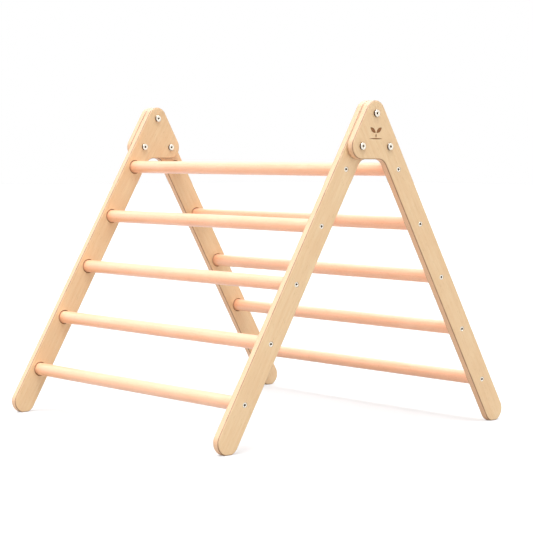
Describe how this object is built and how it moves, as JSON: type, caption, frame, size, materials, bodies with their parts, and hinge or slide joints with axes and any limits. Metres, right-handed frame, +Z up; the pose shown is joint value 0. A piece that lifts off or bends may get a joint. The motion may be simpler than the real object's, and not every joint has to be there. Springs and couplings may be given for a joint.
{
  "type": "climbing triangle",
  "caption": "Folding wooden climbing triangle for toddlers: rung ladders pivot at the head and bolts lock them in an A shape.",
  "frame": {"origin": "on the floor, under the middle of the pivot line between the front and back pivots", "axes": "+X across the fold towards the wider, outer ladder; +Y along the rungs, towards the back; +Z up"},
  "size_m": [0.841, 0.8318, 0.7345],
  "materials": {
    "birch_plywood": "sanded birch plywood with rounded, lacquered edges that show the veneer layers",
    "beech": "turned beech under clear satin lacquer",
    "zinc_bolt": "zinc-plated steel, satin, hexagon socket",
    "zinc_screw": "zinc-plated steel, satin, countersunk with hexagon socket"
  },
  "bodies": {
    "outer_ladder": {"outer_side_front": "birch_plywood", "outer_side_back": "birch_plywood", "outer_rung_1": "beech", "outer_rung_2": "beech", "outer_rung_3": "beech", "outer_rung_4": "beech", "outer_rung_5": "beech", "outer_screw_front_1": "zinc_screw", "outer_screw_front_2": "zinc_screw", "outer_screw_front_3": "zinc_screw", "outer_screw_front_4": "zinc_screw", "outer_screw_front_5": "zinc_screw", "outer_screw_back_1": "zinc_screw", "outer_screw_back_2": "zinc_screw", "outer_screw_back_3": "zinc_screw", "outer_screw_back_4": "zinc_screw", "outer_screw_back_5": "zinc_screw", "pivot_bolt_front": "zinc_bolt", "pivot_bolt_back": "zinc_bolt"},
    "inner_ladder": {"inner_side_front": "birch_plywood", "inner_side_back": "birch_plywood", "inner_rung_1": "beech", "inner_rung_2": "beech", "inner_rung_3": "beech", "inner_rung_4": "beech", "inner_rung_5": "beech", "inner_screw_front_1": "zinc_screw", "inner_screw_front_2": "zinc_screw", "inner_screw_front_3": "zinc_screw", "inner_screw_front_4": "zinc_screw", "inner_screw_front_5": "zinc_screw", "inner_screw_back_1": "zinc_screw", "inner_screw_back_2": "zinc_screw", "inner_screw_back_3": "zinc_screw", "inner_screw_back_4": "zinc_screw", "inner_screw_back_5": "zinc_screw", "pivot_sleeve_front": "zinc_bolt", "lock_sleeve_front_left": "zinc_bolt", "lock_sleeve_front_right": "zinc_bolt", "pivot_sleeve_back": "zinc_bolt", "lock_sleeve_back_left": "zinc_bolt", "lock_sleeve_back_right": "zinc_bolt"},
    "lock_bolt_front_left": {"lock_bolt_front_left": "zinc_bolt"},
    "lock_bolt_front_right": {"lock_bolt_front_right": "zinc_bolt"},
    "lock_bolt_back_left": {"lock_bolt_back_left": "zinc_bolt"},
    "lock_bolt_back_right": {"lock_bolt_back_right": "zinc_bolt"}
  },
  "joints": [
    {"name": "fold", "type": "hinge", "parent": "outer_ladder", "child": "inner_ladder", "pos_m": [0, 0, 0.70653], "axis": [0, -1, 0], "range_deg": [0, 41.5]},
    {"name": "lock_bolt_front_left_slide", "type": "slide", "parent": "outer_ladder", "child": "lock_bolt_front_left", "axis": [0, -1, 0], "range_m": [0, 0.036]},
    {"name": "lock_bolt_front_right_slide", "type": "slide", "parent": "outer_ladder", "child": "lock_bolt_front_right", "axis": [0, -1, 0], "range_m": [0, 0.036]},
    {"name": "lock_bolt_back_left_slide", "type": "slide", "parent": "outer_ladder", "child": "lock_bolt_back_left", "axis": [0, 1, 0], "range_m": [0, 0.036]},
    {"name": "lock_bolt_back_right_slide", "type": "slide", "parent": "outer_ladder", "child": "lock_bolt_back_right", "axis": [0, 1, 0], "range_m": [0, 0.036]}
  ]
}
